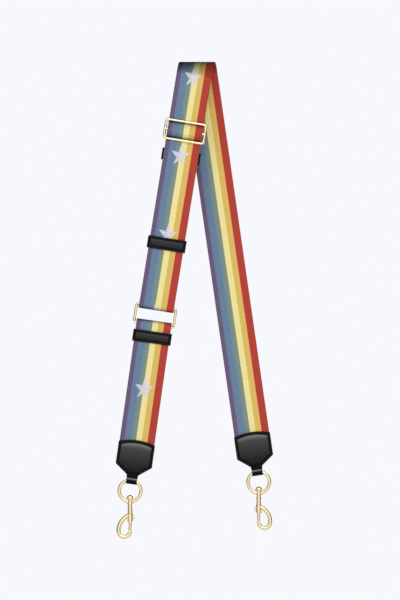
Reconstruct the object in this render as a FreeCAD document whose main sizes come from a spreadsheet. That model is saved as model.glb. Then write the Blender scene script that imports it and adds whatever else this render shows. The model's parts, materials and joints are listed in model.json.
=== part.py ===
import FreeCAD, Part
import Sketcher
import math
import os
import re

# An adjustable webbing shoulder strap, hung over a rail.
# The origin is on the rail's axis, inside the top fold. +Z is up, +X is to the right,
# and -Y is the front. The left leg hangs in front of the rail and the right leg behind it.
# All lengths are in millimetres and all angles in degrees.

DRIVING_SIZES = [
    ("webbing_width", 38.0, "width of the woven strap"),
    ("webbing_thickness", 1.3, "thickness of one ply of webbing"),
    ("rail_radius", 12.5, "radius of the rail that the top fold hangs on"),
    ("left_angle", 9.2, "lean of the left leg above the rectangular ring"),
    ("lower_angle", 8.1, "lean of the short strap below the rectangular ring"),
    ("right_angle", 8.2, "lean of the right leg"),
    ("slider_drop", 62.5, "rail axis to the slider's centre bar, down the left leg"),
    ("ring_drop", 200.7, "slider's centre bar to the middle of the rectangular ring"),
    ("lower_length", 179.1, "middle of the rectangular ring to the left end loop"),
    ("right_length", 433.1, "rail axis to the right end loop, down the right leg"),
    ("frame_height", 23.4, "outer height of the slider and of the rectangular ring"),
    ("frame_wire", 3.0, "wire diameter of the slider and of the rectangular ring"),
    ("frame_corner", 2.5, "corner radius of those frames, at the wire's centre"),
    ("frame_side_gap", 0.95, "webbing edge to the inside of a frame"),
    ("fold_gap", 1.9, "bar to the inside of the webbing folded round it"),
    ("fold_taper", 8.0, "length over which the plies above the fold come together"),
    ("run_gap", 0.15, "front ply to the slider's seam band behind it"),
    ("pass_gap", 0.15, "slider bar to the webbing that runs past it"),
    ("wrap_gap", 0.1, "centre bar to the webbing end sewn round it"),
    ("arch_gap", 0.25, "sewn end to the webbing that arches over it"),
    ("arch_reach", 16.0, "half the length of webbing that moves with the slider"),
    ("bend_radius", 2.5, "bend of the webbing as it runs through the slider"),
    ("band_height", 12.9, "height of the leather bands that cover the seams"),
    ("band_leather", 1.3, "leather thickness of bands and keeper"),
    ("band_gap", 0.1, "seam band to the faces of the webbing inside it"),
    ("band_side_gap", 0.6, "any band or keeper to the edges of the webbing inside it"),
    ("slider_band_drop", 27.0, "slider's centre bar to the middle of its seam band"),
    ("ring_band_drop", 23.6, "middle of the rectangular ring to its seam band"),
    ("seam_margin", 0.8, "the plies meet this far above a seam band and end above its foot"),
    ("keeper_height", 13.2, "height of the sliding keeper"),
    ("keeper_gap", 0.4, "keeper to the faces of the webbing that slides in it"),
    ("keeper_rise", 77.8, "middle of the rectangular ring up to the keeper"),
    ("tab_width", 39.4, "width of a leather end tab"),
    ("tab_leather", 1.5, "leather thickness of an end tab"),
    ("tab_top", 40.3, "end loop's centre up to the tab's upper corners"),
    ("tab_arch", 3.1, "rise of the tab's curved upper edge"),
    ("tab_shoulder", 15.9, "end loop's centre up to the tab's lower corners"),
    ("tab_neck", 5.7, "end loop's centre up to where the neck widens"),
    ("neck_width", 12.4, "width of the tab's neck and of its loop"),
    ("loop_radius", 4.3, "outer radius of the leather loop round the swivel eye"),
    ("panel_inset", 2.8, "border round the tab's raised panel"),
    ("panel_rise", 0.9, "height of the raised panel above its border"),
    ("webbing_tuck", 18.0, "end loop's centre up to the webbing's hidden end"),
    ("sewn_gap", 0.05, "tab leather to the webbing and pad sewn inside it"),
    ("eye_radius", 11.7, "swivel eye's radius at the middle of its wire"),
    ("eye_wire", 3.9, "wire diameter of the swivel eye"),
    ("eye_gap", 0.2, "swivel eye to the leather loop round it"),
    ("boss_radius", 2.9, "radius of the boss at the foot of the eye"),
    ("boss_rise", 0.95, "inside of the eye's wire up to the top of that boss"),
    ("boss_drop", 0.15, "outside of the eye's wire down to the foot of that boss"),
    ("pin_radius", 1.3, "radius of the swivel rivet"),
    ("running_gap", 0.05, "radial clearance of turning and sliding pins"),
    ("head_radius", 3.8, "radius of the rivet's domed head"),
    ("head_cut", 0.95, "middle of that dome down to its flat underside"),
    ("stack_gap", 0.1, "clearance above and below the boss"),
    ("collar_radius", 2.15, "radius of the collar at the top of the hook's shank"),
    ("collar_height", 1.4, "height of that collar"),
    ("shank_radius", 2.6, "radius of the hook's shank"),
    ("shank_length", 9.0, "length of the shank above the thicker barrel"),
    ("barrel_radius", 3.0, "radius of the barrel that guides the bolt"),
    ("barrel_length", 8.6, "length of that barrel"),
    ("crown_thickness", 2.1, "metal between the rivet's end of the shank and the bore"),
    ("hook_wire", 4.8, "thickness of the hook"),
    ("hook_reach", 6.2, "radius of the hook's lower bend"),
    ("hook_back", 18.8, "radius of the hook's back"),
    ("hook_entry", 1.95, "barrel's axis to the start of the hook's back inside it"),
    ("hook_drop", 43.2, "middle of the eye down to the hook's tip"),
    ("bolt_radius", 1.7, "radius of the sliding bolt"),
    ("bolt_travel", 7.0, "how far the bolt slides back"),
    ("bolt_length", 16.7, "length of the sliding bolt"),
    ("tip_gap", 0.1, "end of the bolt to the hook's tip"),
    ("knob_radius", 2.4, "radius of the thumb knob"),
    ("knob_thickness", 1.8, "thickness of the thumb knob"),
    ("stem_radius", 0.9, "radius of the knob's stem"),
    ("stem_drop", 2.0, "top of the bolt down to the knob's stem"),
    ("spring_wire", 0.4, "wire diameter of the bolt's spring"),
    ("spring_turns", 8.0, "number of turns of that spring"),
]

doc = FreeCAD.newDocument("webbing_strap")
sheet = doc.addObject("Spreadsheet::Sheet", "Sizes")
for row, (alias, value, note) in enumerate(DRIVING_SIZES, start=1):
    sheet.set(f"A{row}", alias)
    sheet.set(f"B{row}", str(value))
    sheet.set(f"C{row}", note)
    sheet.setAlias(f"B{row}", alias)
doc.recompute()

X_AXIS = FreeCAD.Vector(1, 0, 0)
Y_AXIS = FreeCAD.Vector(0, 1, 0)
Z_AXIS = FreeCAD.Vector(0, 0, 1)

# Sizes that follow from the driving ones, as formulas.
FRONT_PLY = "(rail_radius + webbing_thickness / 2)"
FOLD_RADIUS = "(frame_wire / 2 + fold_gap + webbing_thickness / 2)"
RING_DEPTH = f"({FRONT_PLY} - {FOLD_RADIUS})"
FOLD_BACK = f"({RING_DEPTH} - {FOLD_RADIUS})"
BACK_PLY = f"({FRONT_PLY} - 2 * webbing_thickness - run_gap - band_leather - band_gap)"
SLIDER_DEPTH = f"({FRONT_PLY} + webbing_thickness / 2 + pass_gap + frame_wire / 2)"
BAR_OFFSET = "((frame_height - frame_wire) / 2)"
FRAME_HALF = "(webbing_width / 2 + frame_side_gap + frame_wire / 2)"
WRAP_HOLE = "(frame_wire / 2 + wrap_gap)"
WRAP_RADIUS = f"({WRAP_HOLE} + webbing_thickness)"
ARCH_DEPTH = f"({SLIDER_DEPTH} + {WRAP_RADIUS} + arch_gap + webbing_thickness / 2)"
SEWN_END_LENGTH = "(slider_band_drop + band_height / 2)"
TAB_THICKNESS = "(webbing_thickness + 2 * sewn_gap + 2 * tab_leather)"
BOSS_TOP = "(eye_radius - eye_wire / 2 - boss_rise)"
BOSS_FOOT = "(eye_radius + eye_wire / 2 + boss_drop)"
BOSS_LENGTH = "(boss_rise + eye_wire + boss_drop)"
SHANK_TOP = f"({BOSS_FOOT} + stack_gap)"
BARREL_TOP = f"({SHANK_TOP} + collar_height + shank_length)"
BARREL_FOOT = f"({BARREL_TOP} + barrel_length)"
BORE_TOP = f"({SHANK_TOP} + crown_thickness)"
BORE_RADIUS = "(bolt_radius + running_gap)"
BOLT_FOOT = "(hook_drop - tip_gap)"
BOLT_TOP = f"({BOLT_FOOT} - bolt_length)"
STEM_LEVEL = f"({BOLT_TOP} + stem_drop)"
SLOT_HALF = "(stem_radius + running_gap)"

pieces = {}


def formula(text):
    """The text with each size named as a cell of the sheet."""
    return re.sub(r"[a-z]+(_[a-z]+)+", lambda word: "Sizes." + word.group(0), text)


def number(text):
    """The value that a formula has now."""
    value = sheet.evalExpression(formula(text))
    return float(getattr(value, "Value", value))


def bind(thing, **formulas):
    """Ties properties of an object to formulas in the sheet's sizes."""
    for name, text in formulas.items():
        thing.setExpression(name, formula(text))
    return thing


def turned(angle, x=0.0, y=0.0, z=0.0):
    """A frame at a point, leaning by an angle about the front-to-back axis."""
    return FreeCAD.Placement(FreeCAD.Vector(x, y, z), FreeCAD.Rotation(Y_AXIS, angle))


def shifted(x=0.0, y=0.0, z=0.0):
    """A frame that is only moved."""
    return FreeCAD.Placement(FreeCAD.Vector(x, y, z), FreeCAD.Rotation())


def primitive(kind, name, placement, **formulas):
    """A Part primitive with its sizes tied to the sheet."""
    thing = bind(doc.addObject("Part::" + kind, name), **formulas)
    thing.Placement = placement
    return thing


def cut(name, base, *tools):
    """The base less each tool in turn."""
    for count, tool in enumerate(tools, start=1):
        result = doc.addObject("Part::Cut", f"{name}_cut_{count}")
        result.Base = base
        result.Tool = tool
        base = result
    return base


def fuse(name, *things):
    """One solid from several."""
    result = doc.addObject("Part::MultiFuse", name)
    result.Shapes = list(things)
    result.Refine = True
    return result


def fixed_shape(name, shape):
    """A document object for a shape that is worked out below."""
    thing = doc.addObject("Part::Feature", name)
    thing.Shape = shape
    return thing


def piece(thing, label, placement=None):
    """Names a finished sub-part and puts it in its place."""
    if placement is not None:
        thing.Placement = placement
    thing.Label = label
    pieces[label] = thing
    return thing


def lying_along_x(x=0.0, y=0.0, z=0.0):
    """A frame whose own Z runs along X, with its own Y upwards."""
    turn = FreeCAD.Rotation(FreeCAD.Vector(1, 1, 1), 120)
    return FreeCAD.Placement(FreeCAD.Vector(x, y, z), turn)


# ---------------------------------------------------------------- frames

LEFT_START = -math.tan(math.radians(number("left_angle"))) * number(FRONT_PLY) * math.pi / 2
RIGHT_START = math.tan(math.radians(number("right_angle"))) * number(FRONT_PLY) * math.pi / 2


def down_left_leg(distance, angle):
    """A frame on the left leg, that far from the rail's level, leaning by the angle."""
    lean = math.radians(number("left_angle"))
    x = LEFT_START - distance * math.sin(lean)
    return turned(angle, x=x, z=-distance * math.cos(lean))


left_frame = turned(number("left_angle"), x=LEFT_START)
right_frame = turned(-number("right_angle"), x=RIGHT_START)
slider_frame_place = down_left_leg(number("slider_drop"), number("left_angle"))
ring_place = down_left_leg(
    number("slider_drop + ring_drop"), number("(left_angle + lower_angle) / 2")
)
lower_frame = down_left_leg(number("slider_drop + ring_drop"), number("lower_angle"))
left_loop = lower_frame * shifted(y=-number(FRONT_PLY), z=-number("lower_length"))
right_loop = right_frame * shifted(y=number(FRONT_PLY), z=-number("right_length"))


# ---------------------------------------------------------------- strips of webbing


def rounded_path(points, radii):
    """Straight runs joined by tangent arcs: a list of runs, each of its points and normals."""
    corners = []
    for before, here, after, radius in zip(points, points[1:], points[2:], radii):
        run_in = (here - before).normalize()
        run_out = (after - here).normalize()
        half_turn = run_in.getAngle(run_out) / 2
        reach = radius * math.tan(half_turn)
        start = here - run_in * reach
        end = here + run_out * reach
        inward = (run_out - run_in).normalize()
        middle = here + inward * (radius / math.cos(half_turn) - radius)
        tangent = (run_in + run_out).normalize()
        corners.append((start, middle, end, run_in, tangent, run_out))
    runs = []
    last = points[0]
    for start, middle, end, run_in, tangent, run_out in corners:
        if (start - last).Length > 1e-6:
            runs.append([(last, run_in), (start, run_in)])
        runs.append([(start, run_in), (middle, tangent), (end, run_out)])
        last = end
    final = (points[-1] - last).normalize()
    runs.append([(last, final), (points[-1], final)])
    return runs


def ribbon(path, radii, thickness):
    """A strip of webbing across the strap's width that follows a side-view path of (y, z)."""
    width = number("webbing_width")
    points = [FreeCAD.Vector(-width / 2, y, z) for y, z in path]
    runs = rounded_path(points, radii)

    def side(distance):
        edges = []
        for run in runs:
            moved = [point + X_AXIS.cross(along) * distance for point, along in run]
            if len(moved) == 2:
                edges.append(Part.makeLine(moved[0], moved[1]))
            else:
                edges.append(Part.Arc(*moved).toShape())
        return edges

    near = side(thickness / 2)
    far = side(-thickness / 2)
    caps = [
        Part.makeLine(near[0].firstVertex().Point, far[0].firstVertex().Point),
        Part.makeLine(near[-1].lastVertex().Point, far[-1].lastVertex().Point),
    ]
    edge_line = Part.Wire(Part.__sortEdges__(near + far + caps))
    return Part.Face(edge_line).extrude(X_AXIS * width)


def leg(name, frame, depth, length):
    """A straight leg of webbing that ends level with the rail's axis."""
    strip = primitive(
        "Box",
        name + "_strip",
        frame
        * shifted(
            x=-number("webbing_width") / 2,
            y=number(depth) - number("webbing_thickness") / 2,
            z=-number(length),
        ),
        Length="webbing_width",
        Width="webbing_thickness",
        Height=f"{length} + webbing_width",
    )
    above = primitive(
        "Box",
        name + "_above",
        shifted(x=-number("webbing_width"), y=-number("webbing_width")),
        Length="2 * webbing_width",
        Width="2 * webbing_width",
        Height="2 * webbing_width",
    )
    return cut(name, strip, above)


def top_fold():
    """The half turn of webbing over the rail, slanting from the right leg to the left one."""
    outer = primitive(
        "Cylinder",
        "fold_outer",
        lying_along_x(x=-number("webbing_width")),
        Radius="rail_radius + webbing_thickness",
        Height="2 * webbing_width",
        Angle="180",
    )
    inner = primitive(
        "Cylinder",
        "fold_inner",
        lying_along_x(x=-number("webbing_width")),
        Radius="rail_radius",
        Height="2 * webbing_width",
    )
    # The band reaches past the fold's outer face by one more thickness of webbing.
    reach = "(rail_radius + 2 * webbing_thickness)"
    half_span = number(reach)
    slope = (RIGHT_START - LEFT_START) / (2 * number(FRONT_PLY))
    middle = (RIGHT_START + LEFT_START) / 2
    band = doc.addObject("Part::Wedge", "fold_band")
    front_half = "webbing_width / (2 * cos(left_angle))"
    back_half = "webbing_width / (2 * cos(right_angle))"
    front_x = middle - slope * half_span
    back_x = middle + slope * half_span
    bind(
        band,
        Xmin=f"{front_x} - {front_half}",
        Xmax=f"{front_x} + {front_half}",
        X2min=f"{back_x} - {back_half}",
        X2max=f"{back_x} + {back_half}",
        Ymin=f"-{reach}",
        Ymax=reach,
        Zmin="0",
        Zmax="rail_radius * 2",
        Z2min="0",
        Z2max="rail_radius * 2",
    )
    fold = doc.addObject("Part::MultiCommon", "fold")
    fold.Shapes = [cut("fold_tube", outer, inner), band]
    return fold


def webbing_pieces():
    """The long strap, split where it runs through the slider, and the short lower strap."""
    thick = number("webbing_thickness")
    front = -number(FRONT_PLY)
    back = -number(BACK_PLY)
    bend = number("bend_radius")
    right_leg = leg("right_leg", right_frame, FRONT_PLY, "(right_length - webbing_tuck)")
    piece(fuse("main_strap", top_fold(), right_leg), "webbing_main")
    piece(
        leg("front_leg", left_frame, f"-{FRONT_PLY}", "(slider_drop - arch_reach)"),
        "webbing_front",
    )

    reach = number("arch_reach")
    crest = -number(ARCH_DEPTH)
    crest_half = number(WRAP_RADIUS)
    foot = number(f"{BAR_OFFSET} - webbing_thickness")
    arch_path = [
        (front, reach),
        (front, foot),
        (crest, crest_half),
        (crest, -crest_half),
        (front, -foot),
        (front, -reach),
    ]
    arch = fixed_shape("slider_arch", ribbon(arch_path, [bend] * 4, thick))
    piece(arch, "webbing_slider_arch", slider_frame_place)

    double = number(f"-({BACK_PLY} + webbing_thickness / 2)")
    centre_bar = -number(SLIDER_DEPTH)
    sewn_path = [
        (double, -number(SEWN_END_LENGTH)),
        (double, -number(f"({BAR_OFFSET} - frame_wire / 2)")),
        (centre_bar, 0.0),
    ]
    plies = fixed_shape("sewn_plies", ribbon(sewn_path, [bend], 2 * thick))
    half_width = -number("webbing_width") / 2
    wrap = primitive(
        "Cylinder",
        "sewn_wrap",
        lying_along_x(x=half_width, y=centre_bar),
        Radius=WRAP_RADIUS,
        Height="webbing_width",
    )
    hole = primitive(
        "Cylinder",
        "sewn_hole",
        lying_along_x(x=half_width, y=centre_bar),
        Radius=WRAP_HOLE,
        Height="webbing_width",
    )
    sewn_end = cut("sewn_end", fuse("sewn_solid", plies, wrap), hole)
    piece(sewn_end, "webbing_sewn_end", slider_frame_place)

    fold = number(FOLD_RADIUS)
    fold_back = -number(FOLD_BACK)
    turn = -number(f"ring_drop - {BAR_OFFSET} + {FOLD_RADIUS}")
    taper_foot = -number(f"ring_drop - {BAR_OFFSET} - webbing_thickness")
    loop_path = [
        (front, -reach),
        (front, turn),
        (fold_back, turn),
        (fold_back, taper_foot),
        (back, taper_foot + number("fold_taper")),
        (back, -number(SEWN_END_LENGTH)),
    ]
    loop_strip = ribbon(loop_path, [fold, fold, bend, bend], thick)
    loop = fixed_shape("adjusting_loop", loop_strip)
    piece(loop, "webbing_loop", slider_frame_place)

    turn = -number(f"{BAR_OFFSET} - {FOLD_RADIUS}")
    pinched = front + thick + number("sewn_gap")
    lower_path = [
        (front, -number("lower_length - webbing_tuck")),
        (front, turn),
        (fold_back, turn),
        (fold_back, -number(f"{BAR_OFFSET} + webbing_thickness")),
        (pinched, -number("ring_band_drop - band_height / 2 - seam_margin")),
        (pinched, -number("ring_band_drop + band_height / 2 - seam_margin")),
    ]
    lower = fixed_shape("lower_strap", ribbon(lower_path, [fold, fold, bend, bend], thick))
    piece(lower, "webbing_lower", lower_frame)


# ---------------------------------------------------------------- leather bands


def band(label, frame, height, gap, front_face, back_face, level):
    """A flat leather tube round the webbing; its faces are distances in front of the rail."""
    half_inner = "(webbing_width / 2 + band_side_gap)"
    inner = primitive(
        "Box",
        label + "_inside",
        shifted(
            x=-number(half_inner),
            y=-number(f"{front_face} + {gap}"),
            z=number(f"{level} - {height}"),
        ),
        Length=f"2 * {half_inner}",
        Width=f"({front_face} + {gap}) - ({back_face} - {gap})",
        Height=f"2 * {height}",
    )
    outer = primitive(
        "Box",
        label + "_outside",
        shifted(
            x=-number(f"{half_inner} + band_leather"),
            y=-number(f"{front_face} + {gap} + band_leather"),
            z=number(f"{level} - {height} / 2"),
        ),
        Length=f"2 * {half_inner} + 2 * band_leather",
        Width=f"({front_face} + {gap}) - ({back_face} - {gap}) + 2 * band_leather",
        Height=height,
    )
    return piece(cut(label, outer, inner), label, frame)


def leather_bands():
    """The two bands sewn over the seams, and the keeper that slides on the doubled webbing."""
    half_ply = "webbing_thickness / 2"
    band(
        "slider_cover",
        slider_frame_place,
        "band_height",
        "band_gap",
        f"({BACK_PLY} + webbing_thickness + {half_ply})",
        f"({BACK_PLY} - {half_ply})",
        "-slider_band_drop",
    )
    band(
        "keeper",
        slider_frame_place,
        "keeper_height",
        "keeper_gap",
        f"({FRONT_PLY} + {half_ply})",
        f"({BACK_PLY} - {half_ply})",
        "keeper_rise - ring_drop",
    )
    band(
        "ring_cover",
        lower_frame,
        "band_height",
        "band_gap",
        f"({FRONT_PLY} + {half_ply})",
        f"({FRONT_PLY} - webbing_thickness - sewn_gap - {half_ply})",
        "-ring_band_drop",
    )


# ---------------------------------------------------------------- sketches and bodies


def origin_plane(body, role):
    """One of a body's own base planes."""
    return next(f for f in body.Origin.OriginFeatures if f.Role == role)


def new_sketch(body, name, role):
    """An empty sketch on one of a body's base planes."""
    sketch = body.newObject("Sketcher::SketchObject", name)
    sketch.AttachmentSupport = (origin_plane(body, role), "")
    sketch.MapMode = "FlatFace"
    return sketch


def tie(sketch, constraint, text):
    """Adds a constraint whose size is a formula in the sheet's sizes."""
    index = sketch.addConstraint(constraint)
    sketch.setExpression(f"Constraints[{index}]", formula(text))


def outline(sketch, corners, bulge=None):
    """A closed outline through corners given as formulas; bulge is (edge, rise) of one arc."""
    spots = [FreeCAD.Vector(number(x), number(y), 0) for x, y in corners]
    count = len(corners)
    start_ends = []
    for index in range(count):
        here = spots[index]
        there = spots[(index + 1) % count]
        if bulge and bulge[0] == index:
            crown = (here + there) / 2 + FreeCAD.Vector(0, number(bulge[1]), 0)
            geometry = sketch.addGeometry(Part.Arc(here, crown, there), False)
            curve = sketch.Geometry[geometry]
            first_is_start = (curve.StartPoint - here).Length < 1e-6
            start_ends.append((geometry, 1, 2) if first_is_start else (geometry, 2, 1))
            arc = geometry
        else:
            geometry = sketch.addGeometry(Part.LineSegment(here, there), False)
            start_ends.append((geometry, 1, 2))
    for index in range(count):
        geometry, _, end = start_ends[index]
        following, start, _ = start_ends[(index + 1) % count]
        sketch.addConstraint(Sketcher.Constraint("Coincident", geometry, end, following, start))
    for index, (x, y) in enumerate(corners):
        geometry, start, _ = start_ends[index]
        place_point(sketch, geometry, start, x, y)
    if bulge:
        x, y = corners[bulge[0]]
        half = f"({x})"
        rise = f"({bulge[1]})"
        radius = f"({half} * {half} + {rise} * {rise}) / (2 * {rise})"
        tie(sketch, Sketcher.Constraint("Radius", arc, number(radius)), radius)


def place_point(sketch, geometry, end, x, y):
    """Fixes a point of a sketch at a place given by two formulas."""
    for kind, text, axis in (("DistanceX", x, -2), ("DistanceY", y, -1)):
        value = number(text)
        if abs(value) < 1e-9:
            sketch.addConstraint(Sketcher.Constraint("PointOnObject", geometry, end, axis))
        else:
            tie(sketch, Sketcher.Constraint(kind, -1, 1, geometry, end, value), text)


def circle(sketch, x, y, radius):
    """A circle whose place and radius are formulas."""
    centre = FreeCAD.Vector(number(x), number(y), 0)
    geometry = sketch.addGeometry(Part.Circle(centre, Z_AXIS, number(radius)), False)
    place_point(sketch, geometry, 3, x, y)
    tie(sketch, Sketcher.Constraint("Radius", geometry, number(radius)), radius)


def pad(body, name, sketch, length, midplane=False):
    """Thickens a sketch into the body's solid."""
    feature = body.newObject("PartDesign::Pad", name)
    feature.Profile = sketch
    feature.Midplane = midplane
    bind(feature, Length=length)
    return feature


def pocket(body, name, sketch, length, midplane=False, backwards=False):
    """Cuts a sketch out of the body's solid."""
    feature = body.newObject("PartDesign::Pocket", name)
    feature.Profile = sketch
    feature.Midplane = midplane
    feature.Reversed = backwards
    bind(feature, Length=length)
    return feature


def wire_frame(label, frame, depth):
    """A rectangular frame of round wire with rounded corners."""
    body = doc.addObject("PartDesign::Body", label + "_body")
    spine = new_sketch(body, label + "_spine", "XZ_Plane")
    across = number(FRAME_HALF)
    high = number(BAR_OFFSET)
    corner = number("frame_corner")
    signs = [(1, 1), (-1, 1), (-1, -1), (1, -1)]
    sides = []
    for (sx, sz), (nx, nz) in zip(signs, signs[1:] + signs[:1]):
        inset_x = 0 if sx == nx else corner
        inset_z = 0 if sz == nz else corner
        here = FreeCAD.Vector(sx * (across - inset_x), sz * (high - inset_z), 0)
        there = FreeCAD.Vector(nx * (across - inset_x), nz * (high - inset_z), 0)
        sides.append(spine.addGeometry(Part.LineSegment(here, there), False))
    bends = []
    for index, (sx, sz) in enumerate(signs):
        middle = FreeCAD.Vector(sx * (across - corner), sz * (high - corner), 0)
        quarter = Part.Circle(middle, Z_AXIS, corner)
        first = math.pi / 2 * index
        arc = Part.ArcOfCircle(quarter, first, first + math.pi / 2)
        bends.append(spine.addGeometry(arc, False))
    for index in range(4):
        # The arc at each corner runs anticlockwise from the side before it to the side after.
        before = sides[index - 1]
        after = sides[index]
        spine.addConstraint(Sketcher.Constraint("Tangent", before, 2, bends[index], 1))
        spine.addConstraint(Sketcher.Constraint("Tangent", bends[index], 2, after, 1))
    for index in (0, 2):
        spine.addConstraint(Sketcher.Constraint("Horizontal", sides[index]))
        spine.addConstraint(Sketcher.Constraint("Vertical", sides[index + 1]))
    for index in (1, 2, 3):
        spine.addConstraint(Sketcher.Constraint("Equal", bends[0], bends[index]))
    tie(spine, Sketcher.Constraint("Radius", bends[0], corner), "frame_corner")
    right, left = sides[3], sides[1]
    top, bottom = sides[0], sides[2]
    tie(spine, Sketcher.Constraint("DistanceX", -1, 1, right, 1, across), FRAME_HALF)
    tie(spine, Sketcher.Constraint("DistanceX", left, 1, -1, 1, across), FRAME_HALF)
    tie(spine, Sketcher.Constraint("DistanceY", -1, 1, top, 1, high), BAR_OFFSET)
    tie(spine, Sketcher.Constraint("DistanceY", bottom, 1, -1, 1, high), BAR_OFFSET)
    section = new_sketch(body, label + "_section", "YZ_Plane")
    circle(section, "0", BAR_OFFSET, "frame_wire / 2")
    doc.recompute()
    pipe = body.newObject("PartDesign::AdditivePipe", label + "_pipe")
    pipe.Profile = section
    pipe.Spine = spine
    body.Tip = pipe
    return piece(body, label, frame * shifted(y=-number(depth)))


def metal_frames():
    """The slider with its centre bar, and the rectangular ring."""
    slider = wire_frame("slider_frame", slider_frame_place, SLIDER_DEPTH)
    wire_frame("rectangle_ring", ring_place, RING_DEPTH)
    rod = primitive(
        "Cylinder",
        "slider_rod",
        slider.Placement * lying_along_x(x=-number(FRAME_HALF)),
        Radius="frame_wire / 2",
        Height=f"2 * {FRAME_HALF}",
    )
    piece(cut("slider_rod_ends", rod, slider), "slider_bar")


# ---------------------------------------------------------------- leather end tabs


def mirrored(half):
    """Corners for both sides from those of the right side, listed from the foot up."""
    left = [(f"-({x})", y) for x, y in half]
    return half + left[::-1]


def tab_outline(inset):
    """The tab's outline, drawn in by an inset, down to where its neck starts."""
    wide = f"(tab_width / 2 - {inset})"
    neck = f"(neck_width / 2 - {inset} / 2)"
    right = [
        (neck, f"(tab_neck + {inset})"),
        (wide, f"(tab_shoulder + {inset} / 2)"),
        (wide, f"(tab_top - {inset})"),
    ]
    return mirrored(right)


def leather_tab(side, frame):
    """A folded leather end with a raised panel on both faces, a neck and a loop."""
    body = doc.addObject("PartDesign::Body", side + "_tab_body")
    plate = new_sketch(body, side + "_tab_plate", "XZ_Plane")
    outline(plate, tab_outline("0"), bulge=(2, "tab_arch"))
    pad(body, side + "_tab_pad", plate, TAB_THICKNESS, midplane=True)
    panel = new_sketch(body, side + "_tab_panel", "XZ_Plane")
    outline(panel, tab_outline("panel_inset"), bulge=(2, "tab_arch"))
    raised = f"{TAB_THICKNESS} + 2 * panel_rise"
    pad(body, side + "_tab_raised", panel, raised, midplane=True)
    neck = new_sketch(body, side + "_tab_neck", "YZ_Plane")
    thin = f"({TAB_THICKNESS} / 2)"
    outline(
        neck,
        mirrored([("loop_radius", "0"), (thin, "tab_neck + loop_radius")]),
    )
    pad(body, side + "_tab_throat", neck, "neck_width", midplane=True)
    round_end = new_sketch(body, side + "_tab_round", "YZ_Plane")
    circle(round_end, "0", "0", "loop_radius")
    pad(body, side + "_tab_loop", round_end, "neck_width", midplane=True)

    slot = new_sketch(body, side + "_tab_slot", "XZ_Plane")
    half_slot = "(webbing_width / 2 + sewn_gap)"
    outline(
        slot,
        [
            (half_slot, "webbing_tuck - sewn_gap"),
            (half_slot, "tab_top + 2 * tab_arch"),
            (f"-{half_slot}", "tab_top + 2 * tab_arch"),
            (f"-{half_slot}", "webbing_tuck - sewn_gap"),
        ],
    )
    slot_depth = "webbing_thickness + 2 * sewn_gap"
    pocket(body, side + "_tab_mouth", slot, slot_depth, midplane=True)
    hollow = new_sketch(body, side + "_tab_hollow", "XZ_Plane")
    outline(hollow, tab_outline("(panel_inset + tab_leather)"), bulge=(2, "tab_arch"))
    hollow_depth = "webbing_thickness + 4 * sewn_gap + 2 * panel_rise"
    pocket(body, side + "_tab_space", hollow, hollow_depth, midplane=True)

    # The eye's wire curves down on both sides of the loop, so the hole widens to its mouths.
    mouth = new_sketch(body, side + "_tab_mouth_profile", "XZ_Plane")
    inner_eye = "(eye_radius - eye_wire / 2)"
    half_neck = "(neck_width / 2)"
    flare = f"(eye_radius - sqrt({inner_eye} * {inner_eye} - {half_neck} * {half_neck}) + eye_gap / 2)"
    waist = "(eye_wire / 2 + eye_gap)"
    outline(
        mouth,
        [
            (half_neck, "0"),
            (half_neck, flare),
            ("0", waist),
            (f"-{half_neck}", flare),
            (f"-{half_neck}", "0"),
        ],
    )
    doc.recompute()
    groove = body.newObject("PartDesign::Groove", side + "_tab_hole")
    groove.Profile = mouth
    groove.ReferenceAxis = (mouth, ["H_Axis"])
    groove.Angle = 360
    body.Tip = groove
    piece(body, side + "_tab_leather", frame)

    webbing_face = number("webbing_thickness / 2 + sewn_gap")
    for face, level in (("front", -webbing_face), ("back", webbing_face)):
        name = f"{side}_{face}_pad"
        filler = doc.addObject("PartDesign::Body", name + "_body")
        shape = new_sketch(filler, name + "_outline", "XZ_Plane")
        inset = "(panel_inset + tab_leather + sewn_gap)"
        outline(shape, tab_outline(inset), bulge=(2, "tab_arch"))
        sheet_of_foam = pad(filler, name + "_sheet", shape, "panel_rise")
        sheet_of_foam.Reversed = face == "back"
        piece(filler, name, frame * shifted(y=level))


# ---------------------------------------------------------------- swivel bolt snaps


def upright(radius, top, length, name):
    """A vertical cylinder; top is how far its upper end is below the middle of the eye."""
    return primitive(
        "Cylinder",
        name,
        shifted(z=-number(f"({top}) + ({length})")),
        Radius=radius,
        Height=length,
    )


def bend_of_hook(name, radius, centre_x, sweep, start):
    """A part turn of the hook's round bar in the plane of the eye, from a start angle."""
    turn = FreeCAD.Rotation(X_AXIS, 90)
    spin = FreeCAD.Rotation(Y_AXIS, -start)
    place = FreeCAD.Placement(
        FreeCAD.Vector(centre_x, 0, -number("hook_drop")), spin.multiply(turn)
    )
    bar = primitive("Torus", name, place, Radius1=radius, Radius2="hook_wire / 2")
    bar.Angle3 = sweep
    return bar


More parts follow.
